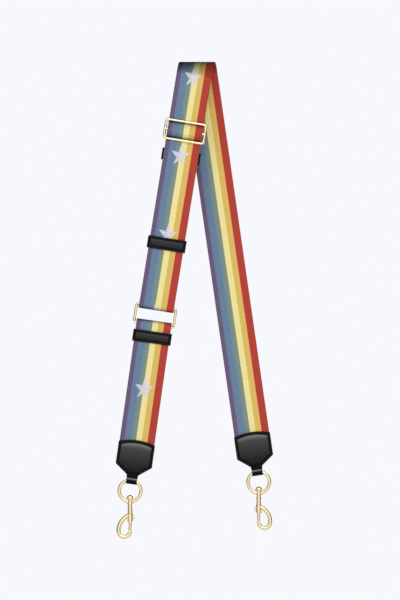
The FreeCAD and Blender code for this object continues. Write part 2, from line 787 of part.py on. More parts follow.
def snap(side, loop, hand):
    """One swivel snap below an end loop; hand is -1 where the hook opens to the left."""
    lean = loop.multVec(FreeCAD.Vector(0, 0, -number("eye_radius")))
    frame = shifted(lean.x, lean.y, lean.z)
    flip = FreeCAD.Rotation(Z_AXIS, 0 if hand < 0 else 180)
    hook_frame = FreeCAD.Placement(lean, flip)

    eye = primitive(
        "Torus",
        side + "_eye_wire",
        FreeCAD.Placement(FreeCAD.Vector(), FreeCAD.Rotation(X_AXIS, 90)),
        Radius1="eye_radius",
        Radius2="eye_wire / 2",
    )
    boss = upright("boss_radius", BOSS_TOP, BOSS_LENGTH, side + "_eye_boss")
    rivet_hole = upright(
        "pin_radius + running_gap",
        f"{BOSS_TOP} - boss_radius",
        f"{BOSS_LENGTH} + 2 * boss_radius",
        side + "_eye_hole",
    )
    # The hole's cutter starts inside the eye's opening, so the top of the wire stays whole.
    ring = cut(side + "_eye", fuse(side + "_eye_solid", eye, boss), rivet_hole)
    piece(ring, side + "_swivel_eye", frame)

    head_level = number(f"{BOSS_TOP} - stack_gap")
    head_cut = number("head_cut")
    head = primitive(
        "Sphere",
        side + "_rivet_head",
        shifted(z=-(head_level - head_cut)),
        Radius="head_radius",
    )
    head.Angle1 = -math.degrees(math.asin(head_cut / number("head_radius")))
    stem_length = f"({BOSS_LENGTH} + 2 * stack_gap + crown_thickness)"
    stem = upright("pin_radius", f"{BOSS_TOP} - stack_gap", stem_length, side + "_rivet_stem")
    piece(fuse(side + "_rivet", head, stem), side + "_swivel_rivet", frame)

    collar = upright("collar_radius", SHANK_TOP, "2 * collar_height", side + "_collar")
    shank_start = f"{SHANK_TOP} + collar_height"
    shank_reach = "shank_length + barrel_radius / 2"
    shank = upright("shank_radius", shank_start, shank_reach, side + "_shank")
    barrel = upright("barrel_radius", BARREL_TOP, "barrel_length", side + "_barrel")
    shoulder = primitive(
        "Cone",
        side + "_shoulder",
        shifted(z=-number(BARREL_TOP)),
        Radius1="barrel_radius",
        Radius2="shank_radius",
        Height="barrel_radius - shank_radius",
    )
    reach = number("hook_reach")
    back = number("hook_back")
    lower_bend = bend_of_hook(side + "_lower_bend", "hook_reach", -reach, 180, 180)
    # The hook's back runs up until its middle line is well inside the barrel.
    entry = number("hook_entry")
    swing = math.degrees(math.acos((back - 2 * reach + entry) / back))
    upper_bend = bend_of_hook(
        side + "_upper_bend", "hook_back", back - 2 * reach, swing, 180 - swing
    )
    solid = fuse(
        side + "_hook_solid", collar, shank, shoulder, barrel, lower_bend, upper_bend
    )
    bore = upright(
        BORE_RADIUS, BORE_TOP, f"{BARREL_FOOT} - {BORE_TOP} + barrel_radius", side + "_bore"
    )
    rivet_seat = upright(
        "pin_radius",
        f"{SHANK_TOP} - stack_gap",
        "crown_thickness + 2 * stack_gap",
        side + "_rivet_seat",
    )
    slot = primitive(
        "Box",
        side + "_slot",
        shifted(y=-number(SLOT_HALF), z=-number(f"{STEM_LEVEL} + {SLOT_HALF}")),
        Length="2 * barrel_radius",
        Width=f"2 * {SLOT_HALF}",
        Height=f"bolt_travel + 2 * {SLOT_HALF}",
    )
    piece(cut(side + "_hook", solid, bore, rivet_seat, slot), side + "_hook", hook_frame)

    rod = upright("bolt_radius", BOLT_TOP, "bolt_length", side + "_bolt_rod")
    cross_hole = primitive(
        "Cylinder",
        side + "_cross_hole",
        lying_along_x(z=-number(STEM_LEVEL)),
        Radius="stem_radius + running_gap / 2",
        Height="2 * bolt_radius",
    )
    piece(cut(side + "_bolt", rod, cross_hole), side + "_bolt", hook_frame)

    stem_of_knob = primitive(
        "Cylinder",
        side + "_knob_stem",
        lying_along_x(x=number("stem_radius / 2"), z=-number(STEM_LEVEL)),
        Radius="stem_radius",
        Height="barrel_radius + stack_gap",
    )
    button = primitive(
        "Cylinder",
        side + "_knob_disc",
        lying_along_x(x=number("barrel_radius + stack_gap"), z=-number(STEM_LEVEL)),
        Radius="knob_radius",
        Height="knob_thickness",
    )
    doc.recompute()
    edge = max(range(1, 4), key=lambda i: edge_reach(button, i))
    rim = doc.addObject("Part::Fillet", side + "_knob_rim")
    rim.Base = button
    rim_radius = number("knob_thickness") / 2
    rim.Edges = [(edge, rim_radius, rim_radius)]
    piece(fuse(side + "_knob", stem_of_knob, rim), side + "_thumb_knob", hook_frame)

    spring_height = number(f"{BOLT_TOP} - {BORE_TOP}")
    wire = number("spring_wire")
    coil_radius = number("bolt_radius") - wire
    rise = spring_height - wire - 2 * number("running_gap")
    helix = Part.makeHelix(rise / number("spring_turns"), rise, coil_radius)
    section = Part.Wire(
        Part.Circle(FreeCAD.Vector(coil_radius, 0, 0), Y_AXIS, wire / 2).toShape()
    )
    coil = Part.Wire(helix).makePipeShell([section], True, True)
    foot = -number(BOLT_TOP) + wire / 2 + number("running_gap")
    coil_frame = hook_frame * shifted(z=foot)
    piece(fixed_shape(side + "_coil", coil), side + "_spring", coil_frame)


def edge_reach(thing, index):
    """How far out along X an edge of a shape lies."""
    edge = thing.Shape.Edges[index - 1]
    return edge.CenterOfMass.x if edge.Closed and len(edge.Vertexes) == 1 else -1e9


# ---------------------------------------------------------------- assembly and export

webbing_pieces()
leather_bands()
metal_frames()
leather_tab("left", left_loop)
leather_tab("right", right_loop)
snap("left", left_loop, -1)
snap("right", right_loop, 1)
doc.recompute()

for thing in doc.Objects:
    if "Invalid" in thing.State or "Error" in thing.State:
        raise ValueError(f"{thing.Label} did not recompute")
for label, thing in pieces.items():
    if thing.Shape.isNull() or not thing.Shape.isValid() or not thing.Shape.Solids:
        raise ValueError(f"{label} is not a valid solid")

os.makedirs("parts", exist_ok=True)
for label, thing in pieces.items():
    thing.Shape.exportStep(f"parts/{label}.step")

for label, thing in pieces.items():
    box = thing.Shape.BoundBox
    print(
        f"{label:22s} volume {thing.Shape.Volume:9.1f}  x {box.XMin:7.1f} {box.XMax:7.1f}"
        f"  y {box.YMin:6.1f} {box.YMax:6.1f}  z {box.ZMin:7.1f} {box.ZMax:7.1f}"
    )
upper_bar = ring_place * shifted(y=-number(RING_DEPTH), z=number(BAR_OFFSET))
lower_bar = ring_place * shifted(y=-number(RING_DEPTH), z=-number(BAR_OFFSET))
for name, place in (
    ("slider centre bar", slider_frame_place * shifted(y=-number(SLIDER_DEPTH))),
    ("ring upper bar", upper_bar),
    ("ring lower bar", lower_bar),
    ("left loop", left_loop),
    ("right loop", right_loop),
):
    print(f"{name}: {place.Base.x:.4f} {place.Base.y:.4f} {place.Base.z:.4f}")
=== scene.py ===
"""An adjustable webbing shoulder strap hung over a rail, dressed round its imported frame.

The frame's origin is on the rail's axis, +Z is up, +X is to the right and -Y is the front.
All lengths are in metres.
"""

import json
import math

import bmesh
import bpy
from mathutils import Matrix, Vector


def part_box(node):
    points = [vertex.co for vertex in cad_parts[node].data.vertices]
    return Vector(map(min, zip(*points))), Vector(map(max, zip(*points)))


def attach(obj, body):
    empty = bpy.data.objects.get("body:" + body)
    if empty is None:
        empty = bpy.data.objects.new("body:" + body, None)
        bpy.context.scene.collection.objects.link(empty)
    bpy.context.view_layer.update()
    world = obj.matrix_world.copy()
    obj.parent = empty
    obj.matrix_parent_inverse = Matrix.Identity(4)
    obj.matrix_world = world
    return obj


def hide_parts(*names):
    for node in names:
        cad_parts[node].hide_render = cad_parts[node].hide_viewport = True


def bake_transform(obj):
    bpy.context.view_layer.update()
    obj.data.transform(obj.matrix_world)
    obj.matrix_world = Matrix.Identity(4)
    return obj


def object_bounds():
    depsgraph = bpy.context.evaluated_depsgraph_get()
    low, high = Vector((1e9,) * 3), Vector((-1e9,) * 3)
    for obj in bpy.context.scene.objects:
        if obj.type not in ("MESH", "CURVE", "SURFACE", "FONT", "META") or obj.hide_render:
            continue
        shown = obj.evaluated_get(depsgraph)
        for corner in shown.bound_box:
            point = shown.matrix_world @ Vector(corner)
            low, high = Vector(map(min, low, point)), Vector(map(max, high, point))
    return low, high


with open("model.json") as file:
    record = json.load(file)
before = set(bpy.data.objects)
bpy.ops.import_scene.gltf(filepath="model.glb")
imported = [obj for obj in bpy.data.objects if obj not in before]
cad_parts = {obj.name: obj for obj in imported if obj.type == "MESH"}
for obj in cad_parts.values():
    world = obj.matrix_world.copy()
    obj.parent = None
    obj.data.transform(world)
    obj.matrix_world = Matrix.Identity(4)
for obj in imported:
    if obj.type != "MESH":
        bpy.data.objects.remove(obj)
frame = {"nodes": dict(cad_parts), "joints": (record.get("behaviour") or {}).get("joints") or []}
CAD_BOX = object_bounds()

bl_info = {
    "name": "Webbing Shoulder Strap",
    "version": (1, 0, 0),
    "blender": (4, 5, 0),
    "location": "3D View > Sidebar > Strap",
    "description": "Woven, leather and brass looks for an adjustable shoulder strap",
    "category": "Add Mesh",
}

MM = 0.001
FULL_TURN = 2 * math.pi


# ---- places on the strap


def joint(name):
    """A joint of the frame, by name."""
    return next(j for j in frame["joints"] if j["name"] == name)


def middle_of(node):
    """The middle of a frame node's box, moved to the strap's centre plane."""
    low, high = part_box(node)
    centre = (low + high) / 2
    return Vector((centre.x, 0.0, centre.z))


def lean_of(hinge):
    """How far a hinge's axis, and so the webbing it crosses, leans from level."""
    axis = joint(hinge)["axis"]
    return math.atan2(-axis[2], axis[0])


class Place:
    """A leaning frame: x across the webbing, y from front to back, z up along the webbing."""

    def __init__(self, origin, lean):
        self.origin = Vector(origin)
        self.lean = lean
        self.across = Vector((math.cos(lean), 0.0, -math.sin(lean)))
        self.up = Vector((math.sin(lean), 0.0, math.cos(lean)))

    def at(self, x, y, z):
        """A point given in this frame."""
        return self.origin + self.across * x + Vector((0.0, y, 0.0)) + self.up * z

    def matrix(self):
        """The transform from this frame to the row frame."""
        return Matrix.Translation(self.origin) @ Matrix.Rotation(self.lean, 4, "Y")


SLIDE_AXIS = joint("slider_slide")["axis"]
SLIDER = Place(middle_of("slider_bar"), math.atan2(-SLIDE_AXIS[0], -SLIDE_AXIS[2]))
LOWER = Place(middle_of("rectangle_ring"), lean_of("left_eye_hinge"))
LEFT_LOOP = Place(joint("left_eye_hinge")["pos_m"], lean_of("left_eye_hinge"))
RIGHT_LOOP = Place(joint("right_eye_hinge")["pos_m"], lean_of("right_eye_hinge"))

# How far down the left leg the slider's middle lies from the rail's level.
SLIDER_DROP = -SLIDER.origin.z / math.cos(SLIDER.lean)


def srgb(red, green, blue):
    """A display colour, from 0 to 255 a channel, as the linear colour that shaders take."""
    channels = []
    for channel in (red, green, blue):
        value = channel / 255
        linear = value / 12.92 if value <= 0.04045 else ((value + 0.055) / 1.055) ** 2.4
        channels.append(linear)
    return tuple(channels)


# ---- settings


def length(name, default, description):
    """A length that a user may change."""
    return bpy.props.FloatProperty(
        name=name, default=default, description=description, unit="LENGTH", precision=5, min=0.0
    )


def colour(name, default, description):
    """A colour that a user may change."""
    return bpy.props.FloatVectorProperty(
        name=name, default=default, description=description, subtype="COLOR", min=0.0, max=1.0
    )


class StrapSizes(bpy.types.PropertyGroup):
    """Sizes of the strap's soft parts and threads."""

    webbing_width: length("Webbing width", 38 * MM, "Width of the woven strap")
    webbing_thickness: length("Webbing thickness", 1.3 * MM, "Thickness of one ply")
    rail_radius: length("Rail radius", 12.5 * MM, "Radius that the top fold bends round")
    rib_pitch: length("Rib pitch", 2.1 * MM, "Distance from one woven rib to the next")
    rib_depth: length("Rib depth", 0.1 * MM, "How deep the furrow between two ribs is")
    bend_radius: length("Bend radius", 2.5 * MM, "Bend of the webbing through the slider")
    fold_radius: length("Fold radius", 4.05 * MM, "Bend of the webbing round the rectangular ring")
    star_radius: length("Star radius", 11.6 * MM, "Reach of a woven star's points")
    star_pitch: length("Star pitch", 86 * MM, "Distance from one woven star to the next")
    star_start: length("First star", 3.9 * MM, "Rail level down to the first star")
    star_shift: length("Star shift", 0.9 * MM, "Stars sit this far left of the middle")
    stitch_length: length("Stitch length", 2.3 * MM, "Visible length of one stitch")
    stitch_gap: length("Stitch gap", 0.8 * MM, "Distance between two stitches")
    thread_radius: length("Thread radius", 0.24 * MM, "Radius of the sewing thread")
    leather_voxel: length("Leather detail", 0.3 * MM, "Mesh size of the leather pieces")


class StrapColours(bpy.types.PropertyGroup):
    """Colours of the strap's materials."""

    purple: colour("Purple", srgb(112, 96, 126), "Left selvedge stripe")
    periwinkle: colour("Periwinkle", srgb(116, 132, 164), "Second stripe")
    blue: colour("Blue", srgb(106, 138, 164), "Third stripe")
    mist: colour("Mist", srgb(124, 148, 154), "Grey teal stripe")
    sage: colour("Sage", srgb(142, 150, 126), "Grey green stripe")
    lemon: colour("Lemon", srgb(240, 228, 158), "Pale yellow stripe")
    gold: colour("Gold", srgb(220, 188, 98), "Deep yellow stripe")
    apricot: colour("Apricot", srgb(236, 180, 108), "Narrow orange stripe")
    rust: colour("Rust", srgb(168, 74, 48), "Shaded edge of the red stripe")
    red: colour("Red", srgb(182, 66, 56), "Right selvedge stripe")
    star: colour("Star", srgb(222, 220, 224), "Silver yarn of the stars")
    # The panels' grey stands in for a painted reflection of the soft lamps on the black leather.
    leather: colour("Leather", (0.06, 0.059, 0.057), "Black box leather of the raised panels")
    leather_edge: colour("Leather edge", (0.0035, 0.0035, 0.004), "Dyed borders and edges")
    thread: colour("Thread", (0.016, 0.016, 0.018), "Sewing thread on the leather")
    brass: colour("Brass", srgb(247, 230, 186), "Polished pale brass")
    steel: colour("Steel", (0.55, 0.55, 0.57), "Spring steel")
    stage: colour("Stage", srgb(247, 248, 253), "Floor and surroundings")


# ---- materials


def joined(operation, swapped=False):
    """An operator that joins a signal and another value in one Math node."""

    def operator(self, other):
        pair = (other, self) if swapped else (self, other)
        return self.finish.maths(operation, *pair)

    return operator


class Signal:
    """A value in a material, so that shader maths reads as a Python expression."""

    def __init__(self, finish, socket):
        self.finish = finish
        self.socket = socket

    __add__ = __radd__ = joined("ADD")
    __sub__ = joined("SUBTRACT")
    __rsub__ = joined("SUBTRACT", swapped=True)
    __mul__ = __rmul__ = joined("MULTIPLY")
    __truediv__ = joined("DIVIDE")
    __rtruediv__ = joined("DIVIDE", swapped=True)
    __mod__ = joined("FLOORED_MODULO")
    __pow__ = joined("POWER")
    __gt__ = joined("GREATER_THAN")

    def __abs__(self):
        return self.finish.maths("ABSOLUTE", self)


class Finish:
    """A material, or a world, being built from nodes."""

    def __init__(self, name, kind="materials"):
        self.block = getattr(bpy.data, kind).new(name)
        self.block.use_nodes = True
        self.tree = self.block.node_tree
        self.tree.nodes.clear()

    def add(self, kind, settings=None, inputs=None, output=0):
        """Adds a node: its settings come first, then its sockets' values or links."""
        node = self.tree.nodes.new(kind)
        for name, value in (settings or {}).items():
            if name == "stops":
                self.fill_ramp(node.color_ramp, value)
            else:
                setattr(node, name, value)
        for name, value in (inputs or {}).items():
            if isinstance(value, Signal):
                self.tree.links.new(value.socket, node.inputs[name])
            else:
                node.inputs[name].default_value = value
        return Signal(self, node.outputs[output]) if node.outputs else None

    @staticmethod
    def fill_ramp(ramp, stops):
        """Gives a colour ramp its stops, from left to right."""
        while len(ramp.elements) < len(stops):
            ramp.elements.new(1.0)
        for element, (position, shade) in zip(ramp.elements, stops):
            element.position = position
            element.color = (*shade, 1.0)

    def maths(self, operation, *values):
        """One Math node."""
        return self.add("ShaderNodeMath", {"operation": operation}, dict(enumerate(values)))

    def clamp(self, value):
        """The value kept from 0 to 1."""
        return self.add("ShaderNodeClamp", inputs={"Value": value})

    def attribute(self, name):
        """A value that each vertex carries."""
        settings = {"attribute_name": name, "attribute_type": "GEOMETRY"}
        return self.add("ShaderNodeAttribute", settings, output="Fac")

    def position(self):
        """The point on the piece, in metres."""
        return self.add("ShaderNodeTexCoord", output="Object")

    def along(self, direction, where=None):
        """How far the point lies in a direction."""
        inputs = {0: where or self.position(), 1: direction}
        return self.add("ShaderNodeVectorMath", {"operation": "DOT_PRODUCT"}, inputs, "Value")

    def point(self, x, y, z):
        """Three values as one vector."""
        return self.add("ShaderNodeCombineXYZ", inputs={0: x, 1: y, 2: z})

    def noise(self, scale, detail=2.0, roughness=0.5, where=None):
        """Soft noise from 0 to 1; scale is in repeats a metre."""
        inputs = {"Scale": scale, "Detail": detail, "Roughness": roughness}
        inputs["Vector"] = where or self.position()
        return self.add("ShaderNodeTexNoise", inputs=inputs)

    def cells(self, scale):
        """Distance to the nearest of many scattered points, as leather's pores lie."""
        inputs = {"Scale": scale, "Vector": self.position()}
        return self.add("ShaderNodeTexVoronoi", inputs=inputs)

    def mix(self, factor, first, second, blend="MIX"):
        """Two colours mixed."""
        settings = {"data_type": "RGBA", "blend_type": blend}
        inputs = {0: factor}
        for index, shade in ((6, first), (7, second)):
            inputs[index] = shade if isinstance(shade, Signal) else (*shade, 1.0)
        return self.add("ShaderNodeMix", settings, inputs, 2)

    def grey(self, value):
        """A value as a grey, to mix with colours."""
        return self.add("ShaderNodeCombineColor", inputs={0: value, 1: value, 2: value})

    def bump(self, height, distance, strength=1.0):
        """A surface normal from a height."""
        inputs = {"Height": height, "Distance": distance, "Strength": strength}
        return self.add("ShaderNodeBump", inputs=inputs)

    def surface(self, **inputs):
        """The shader itself; sockets are named with _ for a space. Returns the material."""
        named = {name.replace("_", " "): value for name, value in inputs.items()}
        shader = self.add("ShaderNodeBsdfPrincipled", inputs=named, output="BSDF")
        self.add("ShaderNodeOutputMaterial", inputs={"Surface": shader})
        return self.block


# How far a star's upper half is drawn out, how wide it is and how hollow its sides are.
STAR_STRETCH = 0.32
STAR_BREADTH = 0.88
STAR_HOLLOW = 2.0
STAR_SOFTNESS = 0.6 * MM


def star_mask(finish, across, along, sizes):
    """1 inside a woven star and 0 outside: slender points with hollow sides, repeated."""
    pitch = sizes.star_pitch
    up = pitch / 2 - (along - sizes.star_start + pitch / 2) % pitch
    up = up / (1.0 + (up > 0.0) * STAR_STRETCH)
    right = (across + sizes.star_shift) / STAR_BREADTH
    reach = finish.maths("SQRT", up * up + right * right)
    turn = finish.maths("ARCTAN2", right, up)
    fifth = FULL_TURN / 5
    off_point = abs((turn + fifth / 2) % fifth - fifth / 2)
    edge = sizes.star_radius / (1 + off_point * (STAR_HOLLOW / (fifth / 2)))
    return finish.clamp((edge - reach) / STAR_SOFTNESS + 0.5)


# What each point of the webbing carries: its place across and along the strip, whether the
# pattern stays put there, whether it is on the face, and how much painted shade darkens it.
MARKS = ("across", "route", "straight", "face", "soil")

# Distance from the rail's level back to the crest of the fold, and how far the painted shade over
# the crest reaches.
CREST = 20.6 * MM
CREST_SHADE_SPAN = 22 * MM
WARP_PITCH = 0.62 * MM
SILVER_SHADE = srgb(204, 204, 222)

# The stripes from the left selvedge, as shares of the width; their borders are soft.
STRIPES = (
    ("purple", 0.0, 0.118),
    ("periwinkle", 0.14, 0.2),
    ("blue", 0.235, 0.3),
    ("mist", 0.34, 0.385),
    ("sage", 0.42, 0.455),
    ("lemon", 0.47, 0.615),
    ("gold", 0.632, 0.735),
    ("apricot", 0.75, 0.78),
    ("rust", 0.798),
    ("red", 0.835, 0.975),
    ("rust", 1.0),
)


def webbing_material(colours):
    """Striped, ribbed webbing with woven silver stars on its face."""
    sizes = sizes_now()
    finish = Finish("striped_webbing")
    across, route, straight, face, soil = (finish.attribute(name) for name in MARKS)
    # On the straight front run the pattern stays put while the slider moves over it.
    down = finish.along(-SLIDER.up) - SLIDER.origin.dot(-SLIDER.up) + SLIDER_DROP
    along = route + straight * (down - route)
    share = across / sizes.webbing_width + 0.5
    stops = [(place, getattr(colours, name)) for name, *places in STRIPES for place in places]
    stripes = finish.add("ShaderNodeValToRGB", {"stops": stops}, {0: share})

    wander = finish.noise(160.0, 2.0, where=finish.point(across, along, 0.0)) - 0.5
    rib = abs(finish.maths("SINE", along * (math.pi / sizes.rib_pitch) + wander * 0.5))
    warp = abs(finish.maths("SINE", across * (math.pi / WARP_PITCH)))
    yarn = finish.noise(1.0, 2.0, where=finish.point(across * 2600.0, along * 90.0, 0.0))
    slub = finish.noise(1.0, 2.0, where=finish.point(across * 420.0, along * 700.0, 3.0))
    # The cloth is drawn darker in the furrows between ribs: partly painted shade in the furrows,
    # partly the weft's own colour, which shows more on the cool side.
    cool_side = finish.clamp((0.46 - share) * 60.0)
    rib_depth = 0.14 + cool_side * 0.3
    light = (1.0 - rib_depth) + rib_depth * rib ** 0.6
    light = light * (0.9 + yarn * 0.2) * (0.94 + slub * 0.12) * (0.96 + warp * 0.07)
    # Painted shade darkens the cloth over the crest of the fold, most of all on the cool side.
    crest = finish.clamp(1.0 - abs(along + CREST) / CREST_SHADE_SPAN) ** 0.5
    light = light * (1.0 - finish.clamp(crest * (1.26 - share * 0.45)) * 0.97)
    # Painted shade under the slider's bars and inside the folds, strongest on the cool side.
    light = light * (1.0 - soil * (1.05 - share * 0.45))

    mask = star_mask(finish, across, along, sizes) * (face > 0.5)
    silver = finish.mix(slub * 0.5, colours.star, SILVER_SHADE)
    woven = finish.mix(mask, stripes, silver)
    shaded = finish.mix(1.0, woven, finish.grey(light), "MULTIPLY")
    height = rib * 0.6 + warp * 0.25 + slub * 0.2 + mask * 0.25
    return finish.surface(
        Base_Color=shaded,
        Roughness=0.82 - mask * 0.3,
        Normal=finish.bump(height, 0.14 * MM, 0.8),
        Sheen_Weight=0.04,
        Sheen_Roughness=0.5,
        Specular_IOR_Level=0.1,
    )


# Colours of the painted highlight on the panels' upper edge and of worn leather.
LEATHER_PAINTED_HIGHLIGHT = (0.11, 0.108, 0.105)
LEATHER_WORN = (0.05, 0.048, 0.046)


def leather_material(colours):
    """Black box leather: matt dyed borders, and raised panels polished by handling, drawn lighter
    as a painted sheen.
    """
    finish = Finish("polished_leather")
    panel = finish.attribute("panel")
    pores = finish.cells(1900.0)
    grain = finish.noise(2600.0, 3.0, 0.6)
    cloud = finish.noise(120.0, 2.0)
    scuff = finish.noise(420.0, 4.0, 0.65)
    worn = finish.clamp((scuff - 0.6) * 4.0)
    # The panels' lighter base colour is painted sheen, brightest towards their top; the glossier
    # coat there is real polish.
    polish_and_painted_sheen = finish.clamp(panel * (0.6 + cloud * 0.2))
    base = finish.mix(polish_and_painted_sheen, colours.leather_edge, colours.leather)
    # A painted highlight along the panels' upper edge.
    base = finish.mix(finish.clamp((panel - 1.0) * 1.4), base, LEATHER_PAINTED_HIGHLIGHT)
    base = finish.mix(worn * panel * 0.5, base, LEATHER_WORN)
    height = pores * 0.5 + grain * 0.35
    return finish.surface(
        Base_Color=base,
        Roughness=0.6 - panel * 0.12 + worn * 0.1,
        Normal=finish.bump(height, 0.1 * MM, 0.4),
        Coat_Weight=polish_and_painted_sheen,
        Coat_Roughness=0.34,
        Specular_IOR_Level=0.06,
    )


def thread_material(colours):
    """Waxed black thread with a twist."""
    finish = Finish("sewing_thread")
    twist = abs(finish.maths("SINE", finish.along((2600.0, 900.0, 3400.0))))
    lint = finish.noise(3200.0, 2.0)
    return finish.surface(
        Base_Color=finish.mix(lint, colours.thread, (0.05, 0.05, 0.052)),
        Roughness=0.42 + twist * 0.15,
        Normal=finish.bump(twist, 0.05 * MM, 0.7),
    )


def brass_material(colours):
    """Polished, lightly handled brass."""
    finish = Finish("polished_brass")
    handled = finish.noise(90.0, 3.0)
    polish_lines = finish.noise(2200.0, 4.0, 0.6)
    tone = finish.mix(handled * 0.3, colours.brass, srgb(232, 202, 142))
    return finish.surface(
        Base_Color=tone,
        Metallic=1.0,
        Roughness=0.14 + handled * 0.05 + polish_lines * 0.04,
        Normal=finish.bump(polish_lines, 0.001 * MM, 0.3),
    )


def steel_material(colours):
    """Drawn spring steel."""
    finish = Finish("drawn_steel")
    drawn = finish.noise(1500.0, 3.0)
    return finish.surface(
        Base_Color=finish.mix(drawn * 0.4, colours.steel, (0.3, 0.3, 0.31)),
        Metallic=1.0,
        Roughness=0.25 + drawn * 0.15,
        Normal=finish.bump(drawn, 0.001 * MM, 0.3),
    )


def material(name):
    """One of the strap's materials, made the first time it is asked for."""
    makers = {
        "striped_webbing": webbing_material,
        "polished_leather": leather_material,
        "sewing_thread": thread_material,
        "polished_brass": brass_material,
        "drawn_steel": steel_material,
    }
    return bpy.data.materials.get(name) or makers[name](colours_now())


def sizes_now():
    """The sizes as the scene holds them."""
    return bpy.context.scene.strap_sizes


def colours_now():
    """The colours as the scene holds them."""
    return bpy.context.scene.strap_colours


# ---- routes of the webbing


class Route:
    """Straight runs joined by tangent arcs, in the (y, z) plane of a place."""

    def __init__(self, points, radii):
        self.parts = []
        self.length = 0.0
        spots = [Vector(p) for p in points]
        last = spots[0]
        for before, here, after, radius in zip(spots, spots[1:], spots[2:], radii):
            run_in = (here - before).normalized()
            run_out = (after - here).normalized()
            side = math.copysign(1.0, run_in.cross(run_out))
            turn = run_in.angle(run_out)
            reach = radius * math.tan(turn / 2)
            start = here - run_in * reach
            self.keep((start - last).length, last, run_in, 0.0)
            self.keep(radius * turn, start, run_in, side / radius)
            last = here + run_out * reach
        run = spots[-1] - last
        self.keep(run.length, last, run.normalized(), 0.0)

    def keep(self, distance, start, heading, curvature):
        """Adds a run or an arc."""
        self.parts.append((self.length, distance, start, heading, curvature))
        self.length += distance

    def at(self, distance):
        """The point at a distance along the route, and the unit vector to its outer face."""
        for begin, extent, start, heading, curvature in self.parts:
            if distance <= begin + extent:
                break
        into = distance - begin
        side = Vector((-heading.y, heading.x))
        if curvature:
            turned = into * curvature
            point = start + (heading * math.sin(turned) + side * (1 - math.cos(turned))) / curvature
            ahead = heading * math.cos(turned) + side * math.sin(turned)
        else:
            point = start + heading * into
            ahead = heading
        return point, Vector((ahead.y, -ahead.x))


def route_surface(place, route, offset):
    """Maps (distance, across, outward) to a point, for webbing that follows a route."""

    def surface(distance, across, outward):
        point, outer = route.at(distance - offset)
        point = point + outer * outward
        return place.at(across, point.x, point.y)

    return surface


class OverRail:
    """The strap from the left leg, over the rail and down the right leg.

    Distances run down the left leg from the rail's level, so they are negative
    over the rail and down the right leg.
    """

    def __init__(self, radius):
        self.radius = radius
        self.left = math.tan(SLIDER.lean)
        self.right = math.tan(-RIGHT_LOOP.lean)
        quarter = radius * math.pi / 2
        self.left_x = -self.left * quarter
        self.right_x = self.right * quarter
        self.half_turn = math.pi * radius
        mean = (self.left + self.right) / 2
        self.fold_length = self.half_turn * math.hypot(1.0, mean)

    def flat(self, distance):
        """The centre line with the strap unrolled: x, girth and slope at a distance."""
        if distance >= 0:
            girth = -distance / math.hypot(1.0, self.left)
            return self.left_x + girth * self.left, girth, self.left
        share = -distance / self.fold_length
        if share <= 1:
            slope = self.left + (self.right - self.left) * share
            middle_slope = (self.left + slope) / 2
            girth = self.half_turn * share
            return self.left_x + girth * middle_slope, girth, slope
        beyond = (-distance - self.fold_length) / math.hypot(1.0, self.right)
        return self.right_x + beyond * self.right, self.half_turn + beyond, self.right

    def surface(self, distance, across, outward):
        """Maps (distance, across, outward) to a point."""
        x, girth, slope = self.flat(distance)
        unit = across / math.hypot(1.0, slope)
        x += unit
        girth -= unit * slope
        reach = self.radius + outward
        if girth <= 0:
            return Vector((x, -reach, girth))
        if girth >= self.half_turn:
            return Vector((x, reach, self.half_turn - girth))
        turn = girth / self.radius
        return Vector((x, -reach * math.cos(turn), reach * math.sin(turn)))


def furrow(distance, pitch):
    """0 on the crest of a rib and 1 in the furrow between two ribs."""
    return 1 - abs(math.sin(math.pi * distance / pitch))


def placed(name, data):
    """A new object in the scene."""
    item = bpy.data.objects.new(name, data)
    bpy.context.scene.collection.objects.link(item)
    return item


def new_piece(name, mesh, material_name):
    """An object of the scene with one material and smooth shading."""
    piece = placed(name, mesh)
    mesh.materials.append(material(material_name))
    mesh.polygons.foreach_set("use_smooth", [True] * len(mesh.polygons))
    return piece


STRIP_COLUMNS = 18
STRIP_CORNER = 0.3 * MM
SELVEDGE_DIP = 1.5
# The most painted shade that any place of the strip takes.
MOST_SHADE = 0.8


